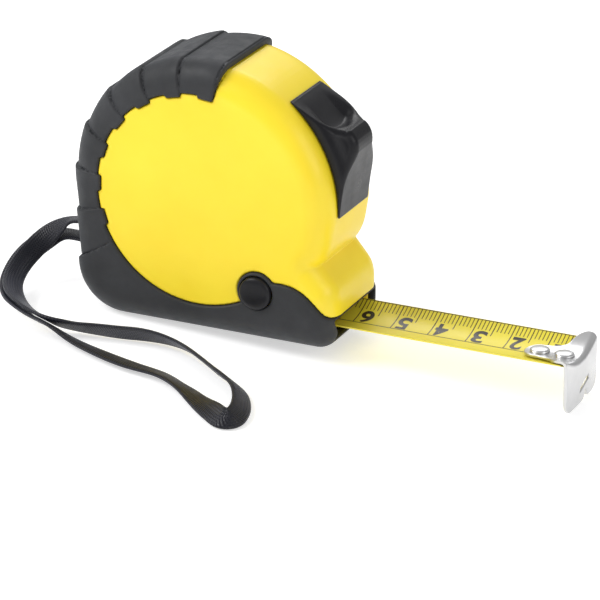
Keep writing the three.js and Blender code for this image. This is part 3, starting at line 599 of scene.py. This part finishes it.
class Case:
    """The fields of the case's pieces, which share their outlines."""

    def __init__(self):
        self.outer = Outline(case_outline(0, GRIP_R))
        self.yellow = Outline(self.yellow_outline())
        self.front = Outline(front_outline(), 2)

    @staticmethod
    def yellow_outline():
        """The shell's outline, level with the rubber's at the nose and toe."""
        points = case_outline(SHELL_INSET, SHELL_R)
        front = points[:, 0] > 20
        points[front, 0] += SHELL_INSET * (1 - ramp(points[front, 1], NOSE_Z, CHEEK_Z))
        return points

    def window(self, x, z):
        """Negative where the yellow shows."""
        phase, treads = tread_phase(x, z)
        tooth = ramp(phase, 0.0, 0.03) * (1 - ramp(phase, 0.44, 0.5)) * treads
        disc = np.hypot(x - SIDE_DISC_X, z - SIDE_DISC_Z) - SIDE_DISC_R + TOOTH * tooth
        return soft_min(disc, self.front(x, z), 0.4)

    def shown(self, x, z):
        """Negative where the yellow shows, apart from the rubber's boss round the button."""
        boss = np.hypot(x - BUTTON_X, z - BUTTON_Z) - BUTTON_R - 1.1
        return soft_max(self.window(x, z), -boss, 0.6)

    def core(self, x, y, z):
        """The shell under the rubber."""
        inset, half, round_ = CORE
        return rounded(self.outer(x, z) + inset, y, half, round_)

    def hollow(self, x, y, z):
        """The room inside, and the blade's channel through it."""
        inset, half, round_ = ROOM
        room = rounded(self.outer(x, z) + inset, y, half, round_)
        half_x, half_y, half_z = CHANNEL_HALF
        channel = np.maximum(np.maximum(np.abs(y) - half_y, np.abs(z - 5) - half_z), np.abs(x + 0.5) - half_x)
        return np.minimum(room, channel)

    @staticmethod
    def mouth(x, y, z):
        """The blade's way out, wider along its top lip than at its floor."""
        half = 10.8 + 1.2 * ramp(z, 4.5, 8)
        tall = np.maximum(z - MOUTH_TOP, MOUTH_FLOOR - z)
        return np.maximum(soft_max(np.abs(y) - half, tall, 0.8), 24 - x)

    @staticmethod
    def strap_recess(x, y, z):
        return np.maximum(soft_max(np.abs(y) - 4.4, np.abs(z - 14.75) - 4.15, 1.2), x + 29.6)

    @staticmethod
    def lock_slot(x, y, z):
        """The slot that the lock's neck slides along: its middle lies 34 mm and 34 degrees round the reel."""
        r = np.hypot(x, z - REEL_Z)
        past_end = np.radians(np.abs(angle_at(x, z) - 34) - 15.5) * 34
        return np.maximum(np.maximum(np.abs(y) - 2.9, past_end), np.abs(r - 34) - 4)

    @staticmethod
    def screws(x, y, z):
        """Recesses for the case screws' heads, on the far side."""
        deep = 99.0
        for name in CASE_SCREWS:
            cx, _, cz = node_middle(name)
            floor = node_box(name)[1][1] - SCREW_HEAD - SCREW_SUNK.get(name, 0)
            deep = np.minimum(deep, np.maximum(np.hypot(x - cx, z - cz) - SCREW_RECESS_R, floor - y))
        return deep

    @staticmethod
    def button_well(x, y, z):
        """The button's well, with a hole for its stem."""
        r = np.hypot(x - BUTTON_X, z - BUTTON_Z)
        well = np.maximum(r - BUTTON_R - WELL_GAP, y - WELL_FLOOR_Y)
        return np.minimum(well, np.maximum(r - STEM_HOLE_R, y - STEM_HOLE_Y))

    def shell_field(self, x, y, z):
        skin = rounded(self.yellow(x, z), y, SHELL_HALF, 6.5)
        body = np.minimum(soft_max(skin, self.shown(x, z), 0.5), self.core(x, y, z))
        for cut in (self.hollow, self.strap_recess, self.lock_slot, self.screws, self.button_well):
            body = np.maximum(body, -cut(x, y, z))
        return soft_max(body, -self.mouth(x, y, z), 0.5)

    def grip_field(self, x, y, z):
        across = self.outer(x, z)
        phase, treads = tread_phase(x, z)
        low = phase * treads
        groove = treads * np.exp(-((np.minimum(phase, 1 - phase) * TREAD_PITCH / GROOVE_HALF) ** 2))
        near_rim = 0.3 + 0.7 * ramp(-across, 8, 3)
        sunk = (TREAD_STEP * low + GROOVE_DEPTH * groove) * near_rim
        skin = rounded(across, y, GRIP_HALF, 6) + sunk
        body = soft_max(skin, 0.16 - self.shown(x, z), 0.5)
        body = np.maximum(body, 0.1 - self.core(x, y, z))
        for cut in (self.strap_recess, self.screws, self.button_well):
            body = soft_max(body, -cut(x, y, z), 0.3)
        return soft_max(body, -self.mouth(x, y, z), 0.6)


def split_at_seam(piece, side, field):
    """Keeps one side of the seam's plane, with its cut closed by lids that lie inside the field."""
    shape = bmesh.new()
    shape.from_mesh(piece.data)
    parts = shape.verts[:] + shape.edges[:] + shape.faces[:]
    cut = bmesh.ops.bisect_plane(
        shape, geom=parts, plane_co=(0, SEAM_Y * MM, 0), plane_no=(0, side, 0), clear_inner=True
    )
    edges = [e for e in cut["geom_cut"] if isinstance(e, bmesh.types.BMEdge)]
    filled = bmesh.ops.triangle_fill(shape, edges=edges, use_beauty=False)["geom"]
    lids = [f for f in filled if isinstance(f, bmesh.types.BMFace)]
    middles = np.array([f.calc_center_median() for f in lids]).T / MM
    stray = [f for f, outside in zip(lids, field(*middles) > 0.05) if outside]
    bmesh.ops.delete(shape, geom=stray, context="FACES_ONLY")
    shape.to_mesh(piece.data)
    shape.free()
    smooth_by_field(piece, field, CASE_STEP)


def make_case():
    case = Case()
    low, high = (REAR_X - 1.2, -17.2, -1.2), (FRONT_X + 1.2, 17.2, 71.8)
    kinds = ("shell", case.shell_field, "shell_yellow"), ("grip", case.grip_field, "grip_rubber")
    for kind, field, slot in kinds:
        near = grown(f"near_{kind}_skin", field, low, high, CASE_STEP, 0.5)
        far = near.copy()
        far.name, far.data = f"far_{kind}_skin", near.data.copy()
        bpy.context.scene.collection.objects.link(far)
        for side, piece in ((-1, near), (1, far)):
            split_at_seam(piece, side, field)
            dress(piece, slot)
            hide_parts(piece.name.replace("_skin", ""))
            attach(piece, "case")


# ---- the wrist strap -----------------------------------------------------------------------------
STRAP_HALF = 2.8
STRAP_HALF_THICK = 0.5
RIB_PITCH = 0.62
YARN_PITCH = 0.7
# x, y, z in millimetres, and how far the webbing leans over from lying flat, in degrees
STRAP_ROUTE = [
    (-30.6, 0, 15, 0),
    (-31.1, 0, 17, 0),
    (-32.8, 0, 18, 0),
    (-36.2, 0, 18, 4),
    (-43.6, -0.2, 17.3, 4),
    (-46, -1.6, 15.9, -14),
    (-48.1, -3.8, 13.9, -34),
    (-49.9, -7.4, 11.6, -50),
    (-50.9, -12, 9.4, -50),
    (-50.5, -17.3, 7.6, -38),
    (-48.3, -22.7, 6.7, -27),
    (-44.8, -27.3, 6.2, -27),
    (-41.2, -30.1, 5.7, -34),
    (-36.9, -32.4, 5.2, -36),
    (-31.7, -33.9, 4.7, -36),
    (-26.6, -31.4, 3, -42),
    (-21, -30, 2.6, -50),
    (-15.2, -28.4, 2.2, -54),
    (-10.1, -26.7, 1.9, -54),
    (-5.4, -26.1, 1.6, -49),
    (-0.9, -26.6, 1.3, -44),
    (3.6, -28.4, 1.1, -42),
    (9.5, -32, 0.6, -45),
    (14.7, -35.6, 0.2, -47),
    (19.7, -38.6, -0.2, -44),
    (23.6, -41.6, -0.6, -40),
    (26.6, -46, -0.9, -38),
    (29, -52, -1, -38),
    (29.3, -56.6, -1.1, -40),
    (27.5, -58.1, -0.9, -40),
    (23.8, -55.7, -0.9, -30),
    (18, -51.5, -0.9, 0),
    (12.7, -47.2, -0.9, 16),
    (8.2, -44.5, -0.7, 23),
    (2.7, -41.9, -0.5, 18),
    (-6.4, -41, 0.1, 12),
    (-15.2, -38.9, 0.6, 15),
    (-24.2, -36.2, 1.4, 24),
    (-31.9, -34.7, 3.7, 36),
    (-37.2, -33.1, 4.2, 36),
    (-41.7, -30.6, 4.6, 34),
    (-45.4, -27.7, 5, 27),
    (-49.1, -22.9, 5.2, 27),
    (-51.9, -17.2, 5.9, 38),
    (-52.6, -11.4, 8.1, 50),
    (-51.3, -6.2, 10.4, 50),
    (-48.5, -2.4, 12.4, 34),
    (-44.6, -0.6, 13.5, 6),
    (-40.4, -0.1, 13.3, 0),
    (-33.4, 0, 12.9, 0),
]


def strap_line(spacing):
    """Even steps along the webbing through its route: centre and lean, and the whole length."""
    route = np.array(STRAP_ROUTE, float)
    ends = np.vstack([2 * route[0] - route[1], route, 2 * route[-1] - route[-2]])
    steps = np.sqrt(np.linalg.norm(np.diff(ends[:, :3], axis=0), axis=1))
    speed = np.diff(ends, axis=0) / steps[:, None]
    slope = speed[:-1] + speed[1:] - (ends[2:] - ends[:-2]) / (steps[1:] + steps[:-1])[:, None]
    t = np.linspace(0, 1, 16, endpoint=False)[:, None]
    dense = []
    for i, span in enumerate(steps[1:-1]):
        level = (2 * t**3 - 3 * t**2 + 1) * route[i] + (3 * t**2 - 2 * t**3) * route[i + 1]
        dense.append(level + span * ((t**3 - 2 * t**2 + t) * slope[i] + (t**3 - t**2) * slope[i + 1]))
    dense = np.vstack(dense + [route[-1:]])
    far = np.concatenate([[0], np.cumsum(np.linalg.norm(np.diff(dense[:, :3], axis=0), axis=1))])
    at = np.linspace(0, far[-1], int(far[-1] / spacing) + 1)
    return np.column_stack([np.interp(at, far, column) for column in dense.T]), far[-1]


def unit(vectors):
    return vectors / np.linalg.norm(vectors, axis=1, keepdims=True)


def eased(values, rounds):
    """Evens out small kinks along a line whose ends stay put."""
    for _ in range(rounds):
        values = np.vstack([values[:1], (values[:-2] + 2 * values[1:-1] + values[2:]) / 4, values[-1:]])
    return values


def make_strap():
    line, length = strap_line(0.55)
    centre = eased(line[:, :3], 6)
    ahead = unit(np.gradient(centre, axis=0))
    flat = unit(np.column_stack([-ahead[:, 1], ahead[:, 0], 0 * ahead[:, 0]]))
    lean = np.radians(line[:, 3:])
    across = unit(eased(flat * np.cos(lean) + np.cross(ahead, flat) * np.sin(lean), 8))
    face = np.cross(ahead, across)
    turns = np.linspace(0, math.tau, 20, endpoint=False)
    wide = STRAP_HALF * np.sign(np.cos(turns)) * np.abs(np.cos(turns)) ** 0.45
    thick = STRAP_HALF_THICK * np.sign(np.sin(turns)) * np.abs(np.sin(turns)) ** 0.6
    rings = centre[:, None] + wide[None, :, None] * across[:, None] + thick[None, :, None] * face[:, None]
    count, around = len(centre), len(turns)
    faces = []
    for first in range(0, (count - 1) * around, around):
        second = first + around
        for k in range(around):
            after = (k + 1) % around
            faces.append((first + k, first + after, second + after, second + k))
    faces.append(tuple(reversed(range(around))))
    faces.append(tuple(range((count - 1) * around, count * around)))
    mesh = bpy.data.meshes.new("strap_webbing")
    mesh.from_pydata((rings.reshape(-1, 3) * MM).tolist(), [], faces)
    layer = mesh.uv_layers.new(name="weave")
    corner = np.zeros(len(mesh.loops), int)
    mesh.loops.foreach_get("vertex_index", corner)
    along = (corner // around) * length / (count - 1)
    layer.data.foreach_set("uv", np.column_stack([along, wide[corner % around]]).ravel())
    mesh.polygons.foreach_set("use_smooth", [True] * len(mesh.polygons))
    piece = new_piece("strap_webbing", mesh)
    dress(piece, "strap_webbing")
    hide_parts("wrist_strap")
    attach(piece, "case")


# ---- thumb lock ----------------------------------------------------------------------------------
LOCK_HALF = 9.0
LOCK_SEAT_R = SHELL_R + 0.15
LOCK_BACK = (21.8, 61.75)  # where the ramp starts, at the top of the pad
RAMP_DROP = math.radians(28.8)
RAMP_LENGTH = 15
DISH_DEPTH, DISH_HALF = 2.2, 8.2


def lock_outline():
    return np.concatenate([
        bend((34.95, 33.2), (35.8, 42), (37.6, 48.2), 8),
        bend((38.0, 49.6), (38.4, 52.9), (35.95, 54.8), 6),
        [(34.6, 55.2), (33.2, 55.35), (31.1, 56.5), (26.7, 59.0), LOCK_BACK],
        arc(0, REEL_Z, LOCK_SEAT_R, 51.3, -1.6, 24),
    ])


class Lock:
    """The thumb pad: a dished ramp up to a lip, on a neck that goes through the case."""

    def __init__(self):
        self.outline = Outline(lock_outline(), 4)

    def dish(self, x, y, z):
        """Negative in the scooped hollow of the ramp, whose front wall stands up to the lip."""
        dx, dz = x - LOCK_BACK[0], z - LOCK_BACK[1]
        along = dx * math.cos(RAMP_DROP) - dz * math.sin(RAMP_DROP)
        above = dx * math.sin(RAMP_DROP) + dz * math.cos(RAMP_DROP)
        depth = DISH_DEPTH * ramp(along, 0, 11.5) * (1 - ramp(along + 0.05 * y**2, 11.8, 14.6))
        depth = depth * (1 - ramp(np.abs(y), 4.6, DISH_HALF)) - 0.15
        return np.maximum(np.maximum(-(above + depth), along - RAMP_LENGTH), np.abs(y) - DISH_HALF)

    def field(self, x, y, z):
        proud = np.hypot(x, z - REEL_Z) - LOCK_SEAT_R
        half = LOCK_HALF - 3.2 * ramp(proud, 1.8, 6.5)
        body = rounded(self.outline(x, z), y, half, 0.7 + 1.4 * ramp(proud, 3, 6))
        body = soft_max(body, -self.dish(x, y, z), 0.6)
        past_end = np.radians(np.abs(angle_at(x, z) - 27.75) - 7.75) * LOCK_SEAT_R
        neck = np.maximum(np.maximum(np.abs(y) - 2.5, past_end), np.abs(proud + 0.6) - 1.7)
        return np.minimum(body, neck)


def make_lock():
    step = 0.28
    piece = grown("lock_pad", Lock().field, (20, -10, 31.5), (40, 10, 63), step, 0.7)
    dress(piece, "lock_black")
    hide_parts("thumb_lock")
    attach(piece, "lock")


# ---- blade and its print -------------------------------------------------------------------------
BLADE_THICK = 0.25
BLADE_DIP = BLADE_EDGE_Z - BLADE_LOW[2] - BLADE_THICK
BLADE_FROM = FRONT_X - 5
PRINT_LIFT = 0.02
TICK_ENDS = (6.3, 4.6, 0.5)  # the y at which millimetre, half-centimetre and centimetre lines end
TICK_WIDTHS = (0.2, 0.24, 0.26)
DIGIT_LOW, DIGIT_HIGH = 0.75, 5.9


def trough(y):
    """The height of the blade's upper face."""
    return BLADE_EDGE_Z - BLADE_DIP * (1 - (y / BLADE_HALF) ** 2)


def mesh_piece(name, points, faces, smooth=False):
    mesh = bpy.data.meshes.new(name)
    mesh.from_pydata((np.array(points) * MM).tolist(), [], faces)
    mesh.polygons.foreach_set("use_smooth", [smooth] * len(mesh.polygons))
    return new_piece(name, mesh)


def make_strip():
    ys = np.linspace(-BLADE_HALF, BLADE_HALF, 41)
    over = np.column_stack([ys, trough(ys)])
    ring = np.concatenate([over, over[::-1] - (0, BLADE_THICK)])
    xs = np.linspace(BLADE_FROM, BLADE_HIGH[0], 14)
    points = [(x, y, z) for x in xs for y, z in ring]
    n = len(ring)
    faces = [
        (i * n + k, (i + 1) * n + k, (i + 1) * n + (k + 1) % n, i * n + (k + 1) % n)
        for i in range(len(xs) - 1)
        for k in range(n)
    ]
    faces.append(tuple(range(n)))
    faces.append(tuple(reversed(range((len(xs) - 1) * n, len(xs) * n))))
    piece = mesh_piece("blade_tape", points, faces, True)
    piece.data.set_sharp_from_angle(angle=math.radians(40))
    dress(piece, "blade_yellow")
    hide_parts("blade_strip")
    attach(piece, "blade")


def printed(rectangles):
    """Points and faces of marks (x0, x1, y0, y1), each cut up so that it follows the trough."""
    points, faces = [], []
    for x0, x1, y0, y1 in rectangles:
        first = len(points)
        cuts = max(1, round(abs(y1 - y0) / 0.8))
        for y in np.linspace(y0, y1, cuts + 1):
            z = trough(y) + PRINT_LIFT
            points += [(x0, y, z), (x1, y, z)]
        for k in range(first, first + 2 * cuts, 2):
            faces.append((k, k + 1, k + 3, k + 2))
    return points, faces


def digit_mesh(text, x_low, x_high):
    """A digit laid on the blade, its top towards -Y and its right towards -X."""
    font = bpy.data.curves.new("digit", "FONT")
    font.body = text
    font.offset = 0.03
    letter = bpy.data.objects.new("digit", font)
    flat = bpy.data.meshes.new_from_object(letter)
    shape = bmesh.new()
    shape.from_mesh(flat)
    co = np.array([v.co for v in shape.verts])[:, :2]
    low, size = co.min(0), np.ptp(co, axis=0)
    for vert, (u, v) in zip(shape.verts, (co - low) / size):
        vert.co = (x_high - u * (x_high - x_low), DIGIT_HIGH - v * (DIGIT_HIGH - DIGIT_LOW), 0)
    for y in np.arange(DIGIT_LOW + 0.5, DIGIT_HIGH, 0.5):
        parts = shape.verts[:] + shape.edges[:] + shape.faces[:]
        bmesh.ops.bisect_plane(shape, geom=parts, plane_co=(0, y, 0), plane_no=(0, 1, 0))
    shape.verts.index_update()
    points = [(v.co.x, v.co.y, trough(v.co.y) + PRINT_LIFT) for v in shape.verts]
    faces = [tuple(v.index for v in face.verts) for face in shape.faces]
    shape.free()
    bpy.data.objects.remove(letter)
    bpy.data.meshes.remove(flat)
    return points, faces


def make_print():
    marks = []
    last = int(ZERO_X - BLADE_FROM)
    for mm in range(3, last):
        kind = 2 if mm % 10 == 0 else 1 if mm % 5 == 0 else 0
        x, half = ZERO_X - mm, TICK_WIDTHS[kind] / 2
        marks.append((x - half, x + half, TICK_ENDS[kind], BLADE_HALF - 0.25))
    marks.append((BLADE_FROM, 80.5, TICK_ENDS[2] - 0.3, TICK_ENDS[2]))
    marks.append((BLADE_FROM, BLADE_HIGH[0], BLADE_HALF - 0.3, BLADE_HALF - 0.12))
    points, faces = printed(marks)
    for number in range(1, last // 10 + 1):
        line_x = ZERO_X - 10 * number
        more, extra = digit_mesh(str(number), line_x + (0.8 if number > 1 else 1.6), line_x + 4.1)
        faces += [tuple(len(points) + k for k in face) for face in extra]
        points += more
    piece = mesh_piece("blade_print", points, faces)
    piece.data.materials.append(MATERIALS["blade_ink"])
    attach(piece, "blade")


# ---- hook and rivets -----------------------------------------------------------------------------
LEAF_LIFT = 0.3
LEAF_TIP_X, LEAF_TIP_R = 84.2, 3.5
HOOK_HALF = 10.1
HOOK_BEND_R = 1.3
HOOK_BOTTOM = HOOK_LOW[2]


def leaf_outline():
    """Plan of the hook's tongue and wings, (x, y), with the plate's width at the bend."""
    tip = arc(LEAF_TIP_X, 0, LEAF_TIP_R, 90, 270, 16)
    side = np.concatenate([
        bend((85.5, 3.55), (88.6, 3.9), (89.7, 5.4), 5),
        bend((90, 6), (90.6, 9.3), (93.2, HOOK_HALF), 6),
        [(99, HOOK_HALF)],
    ])
    return np.concatenate([tip, side * (1, -1), side[::-1]])


def plate_outline():
    """Front view of the plate, (y, z): round corners and a nail notch in the lower edge."""
    r = 3.6
    return np.concatenate([
        [(-HOOK_HALF, 14), (-HOOK_HALF, HOOK_BOTTOM + r)],
        arc(-HOOK_HALF + r, HOOK_BOTTOM + r, r, 180, 270, 8),
        bend((-0.2, HOOK_BOTTOM), (2.3, HOOK_BOTTOM), (2.3, HOOK_BOTTOM + 1.7), 6),
        bend((2.4, HOOK_BOTTOM + 2.4), (3.4, HOOK_BOTTOM + 2.5), (3.7, HOOK_BOTTOM + 1.5), 5),
        bend((3.9, HOOK_BOTTOM + 0.6), (4.6, HOOK_BOTTOM + 0.3), (5.8, HOOK_BOTTOM + 0.3), 5),
        arc(HOOK_HALF - r, HOOK_BOTTOM + 0.3 + r, r, 270, 360, 8),
        [(HOOK_HALF, 14)],
    ])


class Hook:
    """A bent plate: the tongue lies in the blade's trough and the plate hangs from its bend."""

    def __init__(self):
        self.leaf = Outline(leaf_outline(), 4)
        self.plate = Outline(plate_outline(), 4)
        self.slot = Outline([(-0.9, -4.4), (-0.4, -3.3), (4.9, -1.4), (5.1, -2.5)], 12)

    def field(self, x, y, z):
        half = HOOK_THICK / 2
        up = z - trough(y)
        level, upright = LEAF_LIFT + half, ZERO_X + half
        bend_x, bend_up = upright - HOOK_BEND_R, level - HOOK_BEND_R
        corner = np.abs(np.hypot(x - bend_x, up - bend_up) - HOOK_BEND_R)
        from_leaf, from_plate = np.abs(up - level), np.abs(x - upright)
        flat = np.where(x < bend_x, from_leaf, from_plate)
        flat = np.where((x < bend_x) & (up < bend_up), np.minimum(from_leaf, from_plate), flat)
        sheet = np.where((x > bend_x) & (up > bend_up), corner, flat) - half
        rim = np.maximum(self.leaf(x, y + 0 * z), self.plate(y + 0 * x, z))
        rim = soft_max(rim, -self.slot(y + 0 * x, z), 0.3)
        return soft_max(sheet, rim, 0.35)


def make_hook():
    step = 0.17
    low, high = (80, -10.9, HOOK_BOTTOM - 0.6), (ZERO_X + 1.8, 10.9, 8.6)
    piece = grown("hook_plate", Hook().field, low, high, step)
    dress(piece, "hook_chrome")
    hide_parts("end_hook")
    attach(piece, "hook")


def lathed(name, profile, steps=48):
    """A solid turned about Z from (radius, height) pairs, in millimetres, that end on the axis."""
    angles = np.linspace(0, math.tau, steps, endpoint=False)
    points = [(0, 0, profile[0][1])]
    for r, z in profile[1:-1]:
        points += [(r * math.cos(a), r * math.sin(a), z) for a in angles]
    points.append((0, 0, profile[-1][1]))
    last = len(points) - 1
    top = last - steps
    faces = []
    for k in range(steps):
        after = (k + 1) % steps
        faces.append((0, 1 + after, 1 + k))
        for a in range(1, top, steps):
            b = a + steps
            faces.append((a + k, a + after, b + after, b + k))
        faces.append((top + k, top + after, last))
    return mesh_piece(name, points, faces, True)


def make_rivets():
    floor = BLADE_EDGE_Z - BLADE_DIP
    seat = floor + LEAF_LIFT + HOOK_THICK
    foot = floor - BLADE_THICK
    profile = [
        (0, foot - 0.3), (1.7, foot - 0.3), (1.9, foot - 0.24), (1.9, foot - 0.1), (1.1, foot - 0.08),
        (1.1, seat - 0.1), (2.3, seat - 0.05), (2.45, seat + 0.1), (2.45, seat + 0.45), (2.35, seat + 0.62),
        (2.0, seat + 0.78), (1.3, seat + 0.93), (0.6, seat + 1.0), (0, seat + 1.02),
    ]
    for number in (1, 2):
        rivet_x = node_middle(f"hook_rivet_{number}")[0]
        piece = lathed(f"rivet_head_{number}", profile)
        piece.data.transform(Matrix.Translation(Vector((rivet_x, 0, 0)) * MM))
        piece.data.set_sharp_from_angle(angle=math.radians(50))
        dress(piece, "hook_chrome")
        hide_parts(f"hook_rivet_{number}")
        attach(piece, "blade")


# ---- button, screws and belt clip ----------------------------------------------------------------
def make_button():
    front, back, end = -BUTTON_LOW[1], 15.2, -BUTTON_HIGH[1]
    profile = [
        (0, end), (1.4, end), (1.5, end + 0.1), (1.5, back), (BUTTON_R - 0.1, back), (BUTTON_R, back + 0.1),
        (BUTTON_R, front - 1.1), (BUTTON_R - 0.12, front - 0.75), (BUTTON_R - 0.45, front - 0.48),
        (BUTTON_R - 1.1, front - 0.28), (2.2, front - 0.12), (1.1, front - 0.03), (0, front),
    ]
    piece = lathed("button_cap", profile, 72)
    place = Matrix.Translation(Vector((BUTTON_X, 0, BUTTON_Z)) * MM)
    piece.data.transform(place @ Matrix.Rotation(math.radians(90), 4, "X"))
    piece.data.set_sharp_from_angle(angle=math.radians(50))
    dress(piece, "lock_black")
    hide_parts("brake_button")
    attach(piece, "button")


def screw_field(centre_x, centre_z, low_y, high_y, head_r):
    """A domed screw head facing +Y with a cross recess, on a plain shank."""

    def field(x, y, z):
        r = np.hypot(x - centre_x, z - centre_z)
        dome = high_y - 0.09 * r**2
        head = rounded(r - head_r, y - (high_y - 0.8), 0.8, 0.2)
        head = soft_max(head, y - dome, 0.2)
        deep = high_y - 0.95 - y
        a, b = np.abs(x - centre_x) + 0 * z, np.abs(z - centre_z) + 0 * x
        cross = np.minimum(np.maximum(a - 0.28, b - 0.6 * head_r), np.maximum(b - 0.28, a - 0.6 * head_r))
        head = soft_max(head, -np.maximum(cross, deep), 0.15)
        shank = np.maximum(r - 1.1, np.maximum(low_y - y, y - high_y + 1.2))
        return np.minimum(head, shank)

    return field


def make_screws():
    step = 0.16
    for name in (*CASE_SCREWS, "clip_screw"):
        low, high = node_box(name)
        x, _, z = node_middle(name)
        r = (high[0] - low[0]) / 2
        start, top = max(low[1], high[1] - 6), high[1] - SCREW_SUNK.get(name, 0)
        field = screw_field(x, z, start, top, r)
        corners = (x - r - 0.5, start - 0.5, z - r - 0.5), (x + r + 0.5, top + 0.5, z + r + 0.5)
        piece = grown(name + "_head", field, *corners, step)
        dress(piece, "screw_steel")
        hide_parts(name)
        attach(piece, "case")


def path_distance(points, u, w):
    """Distance from an open line of points."""
    nearest = 1e9
    for (au, aw), (bu, bw) in zip(points, points[1:]):
        eu, ew = bu - au, bw - aw
        along = np.clip(((u - au) * eu + (w - aw) * ew) / (eu * eu + ew * ew), 0, 1)
        nearest = np.minimum(nearest, np.hypot(u - au - along * eu, w - aw - along * ew))
    return nearest


CLIP_HALF_THICK = 0.5


def make_clip():
    low, high = node_box("belt_clip")
    screw_x, _, screw_z = node_middle("clip_screw")
    near, far = low[1] + CLIP_HALF_THICK, high[1] - CLIP_HALF_THICK
    bend_r = (far - near) / 2
    bend_z = high[2] - CLIP_HALF_THICK - bend_r
    line = np.concatenate([
        [(near, 44.9)],
        arc(near + bend_r, bend_z, bend_r, 180, 0, 16),
        bend((far, 26.5), (far, 24.2), (far - 1.0, 22.6), 4),
        bend((near + 2.2, 18.9), (near + 1.6, 17.8), (near + 2.0, 16.8), 4),
        [(near + 3.3, 13.7)],
    ])

    def field(x, y, z):
        ribbed = ramp(z, 27, 30) * (1 - ramp(z, 43, 46)) * (y > (near + far) / 2)
        rib = 0.45 * np.exp(-((x / 1.7) ** 2)) * ribbed
        sheet = path_distance(line, y - rib, z) - CLIP_HALF_THICK
        half = 8 - 3 * ramp(21 - z, 0, 8) ** 2
        body = rounded(sheet, x, half, 0.3)
        driver = np.maximum(np.hypot(x - screw_x, z - screw_z) - 3, near + 1.5 - y)
        hole = np.maximum(np.hypot(x - screw_x, z - screw_z) - 1.4, y - near - 1.5)
        return soft_max(body, -np.minimum(driver, hole), 0.25)

    step = 0.28
    piece = grown("clip_spring", field, low - 0.9, high + 0.9, step, 0.5)
    dress(piece, "clip_chrome")
    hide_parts("belt_clip")
    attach(piece, "case")


# ---- build ---------------------------------------------------------------------------------------
set_camera()
make_materials()
make_strap()
set_studio()
make_case()
make_lock()
make_strip()
make_print()
make_hook()
make_rivets()
make_button()
make_screws()
make_clip()
